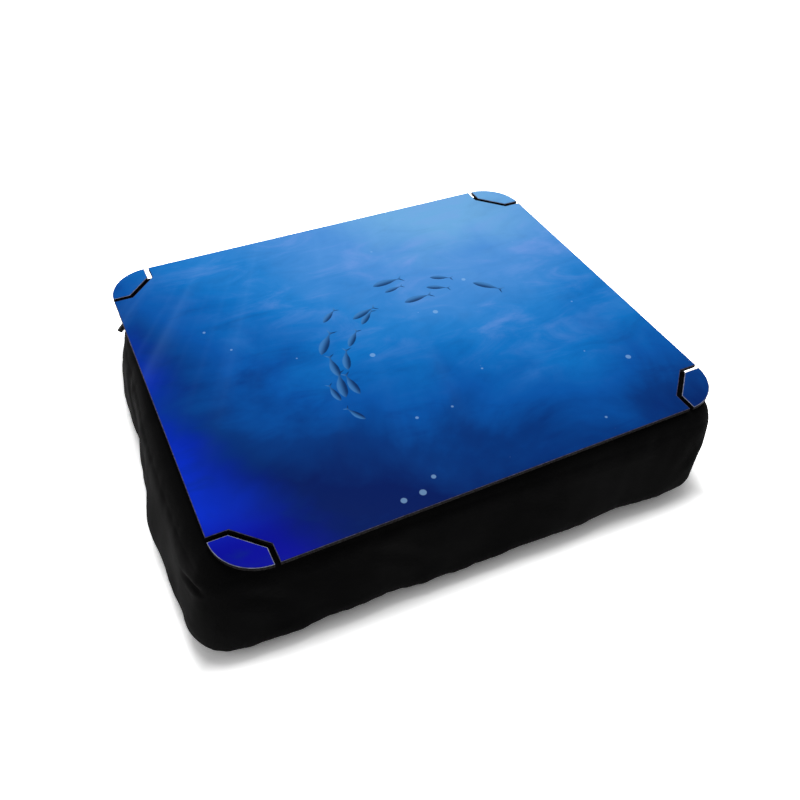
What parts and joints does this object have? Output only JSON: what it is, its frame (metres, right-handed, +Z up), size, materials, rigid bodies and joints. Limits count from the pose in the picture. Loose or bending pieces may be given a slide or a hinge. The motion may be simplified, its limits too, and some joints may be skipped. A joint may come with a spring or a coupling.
{
  "type": "lap tray with cushion",
  "caption": "Rectangular lap tray: a thin printed hardboard panel with loose corner pieces, held by hook and loop on a zipped, bead-filled black cloth cushion.",
  "frame": {"origin": "on the floor, under the middle of the tray", "axes": "+Z up, +X to the right along the tray's long side, +Y from the front to the back wall with the zip"},
  "size_m": [0.4221, 0.3582, 0.0851],
  "materials": {
    "hardboard": "matte",
    "print_film": "satin",
    "hook_tape": "matte",
    "loop_tape": "matte",
    "cover_cloth": "matte",
    "liner_cloth": "matte",
    "beads": "matte",
    "zip_tape": "matte",
    "zip_teeth": "satin",
    "zip_metal": "satin"
  },
  "bodies": {
    "cushion": {"bead_filling": "beads", "corner_board_back_left": "hardboard", "corner_board_back_right": "hardboard", "corner_board_front_left": "hardboard", "corner_board_front_right": "hardboard", "corner_print_back_left": "print_film", "corner_print_back_right": "print_film", "corner_print_front_left": "print_film", "corner_print_front_right": "print_film", "cover_base_panel": "cover_cloth", "cover_side_band": "cover_cloth", "cover_top_panel": "cover_cloth", "hook_dot_back_left": "hook_tape", "hook_dot_back_right": "hook_tape", "hook_dot_front_left": "hook_tape", "hook_dot_front_right": "hook_tape", "liner_bag": "liner_cloth", "loop_dot_back_left": "loop_tape", "loop_dot_back_right": "loop_tape", "loop_dot_front_left": "loop_tape", "loop_dot_front_right": "loop_tape", "loop_strip_back": "loop_tape", "loop_strip_front": "loop_tape", "zip_stops": "zip_metal", "zip_tape_lower": "zip_tape", "zip_tape_upper": "zip_tape", "zip_teeth_lower": "zip_teeth", "zip_teeth_upper": "zip_teeth"},
    "tray": {"tray_panel": "hardboard", "tray_panel_print": "print_film", "hook_strip_front": "hook_tape", "hook_strip_back": "hook_tape"},
    "zip_slider": {"zip_slider": "zip_metal"},
    "zip_puller": {"zip_puller": "zip_metal"}
  },
  "joints": [
    {"name": "tray_lift", "type": "slide", "parent": "cushion", "child": "tray", "axis": [0, 0, 1], "range_m": [0, 0.15]},
    {"name": "zip_slide", "type": "slide", "parent": "cushion", "child": "zip_slider", "axis": [1, 0, 0], "range_m": [0, 0.33]},
    {"name": "puller_swing", "type": "hinge", "parent": "zip_slider", "child": "zip_puller", "pos_m": [-0.17792, 0.16541, 0.05128], "axis": [1, 0, 0], "range_deg": [-4, 150]}
  ]
}
